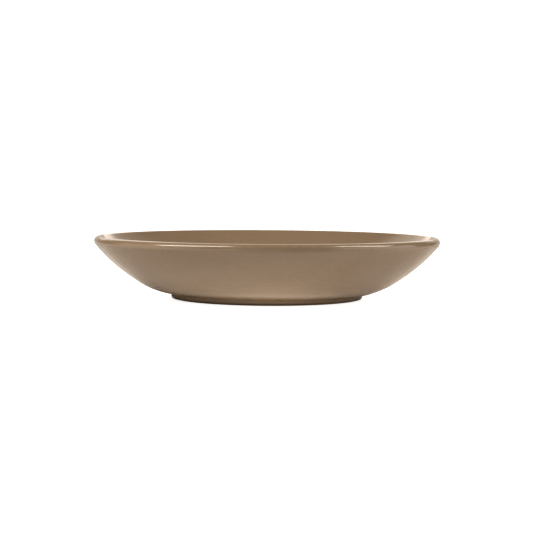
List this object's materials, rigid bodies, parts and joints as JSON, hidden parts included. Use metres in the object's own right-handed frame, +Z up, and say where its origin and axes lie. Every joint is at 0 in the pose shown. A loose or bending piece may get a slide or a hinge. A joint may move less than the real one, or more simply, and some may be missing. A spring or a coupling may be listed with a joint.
{
  "type": "pasta bowl",
  "caption": "Wide, shallow round stoneware bowl with a gently curved flaring wall, a rounded lip, a satin taupe glaze and a low foot ring, for serving pasta or soup.",
  "frame": {"origin": "middle of the ring that the bowl stands on, at table height", "axes": "+Z up along the axis of the bowl, through its mouth; +X and +Y are level and equivalent"},
  "size_m": [0.23, 0.23, 0.0415],
  "materials": {
    "stoneware": "bare fired clay, sanded smooth on the standing ring",
    "taupe_glaze": "satin taupe glaze with faint speckle and mottling"
  },
  "bodies": {
    "root": {"clay_body": "stoneware", "foot_ring": "stoneware", "liner_glaze": "taupe_glaze", "outer_glaze": "taupe_glaze", "base_glaze": "taupe_glaze"}
  },
  "joints": []
}
